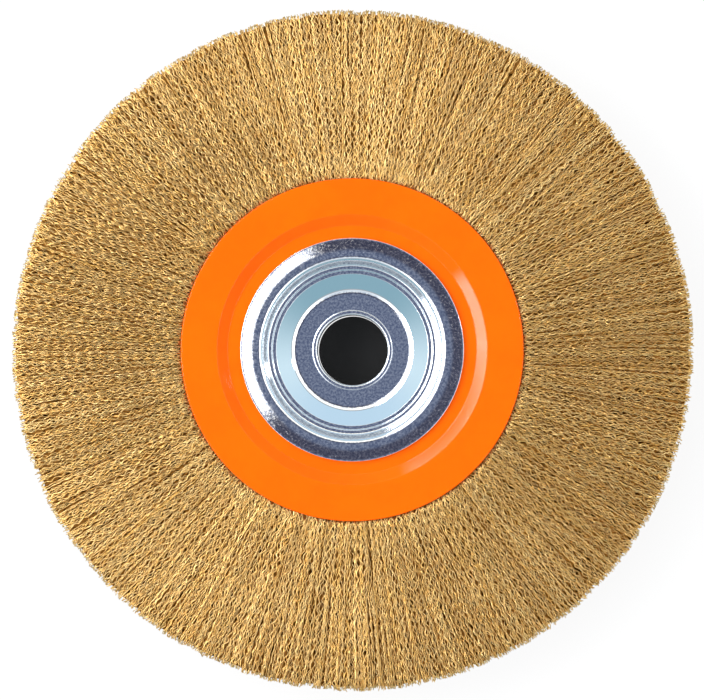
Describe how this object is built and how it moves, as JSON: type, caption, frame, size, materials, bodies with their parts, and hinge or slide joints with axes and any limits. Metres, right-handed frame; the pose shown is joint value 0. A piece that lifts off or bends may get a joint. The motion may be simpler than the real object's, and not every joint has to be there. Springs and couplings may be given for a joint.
{
  "type": "wire wheel brush",
  "caption": "Wide-face crimped wire wheel brush with dished face plates and a recessed, stepped hub round a plain bore.",
  "frame": {"origin": "middle of the wheel, on the bore's axis and halfway between the two face plates", "axes": "+Z along the bore's axis, out of the front face; the wheel is round about Z, and its front and rear are alike"},
  "size_m": [0.25, 0.25, 0.027],
  "materials": {
    "orange_paint": "gloss stoved enamel on pressed steel",
    "zinc_plate": "bright blue zinc plating on pressed steel",
    "plain_steel": "oiled bare steel",
    "brass_wire": "brass-coated crimped steel wire"
  },
  "bodies": {
    "root": {"front_face_plate": "orange_paint", "rear_face_plate": "orange_paint", "front_hub_cup": "zinc_plate", "rear_hub_cup": "zinc_plate", "arbor_sleeve": "zinc_plate", "hub_spacer": "plain_steel", "core_tube": "plain_steel", "front_channel_ring": "plain_steel", "middle_channel_ring": "plain_steel", "rear_channel_ring": "plain_steel", "front_retaining_ring": "plain_steel", "middle_retaining_ring": "plain_steel", "rear_retaining_ring": "plain_steel", "front_wire_section": "brass_wire", "middle_wire_section": "brass_wire", "rear_wire_section": "brass_wire"}
  },
  "joints": []
}
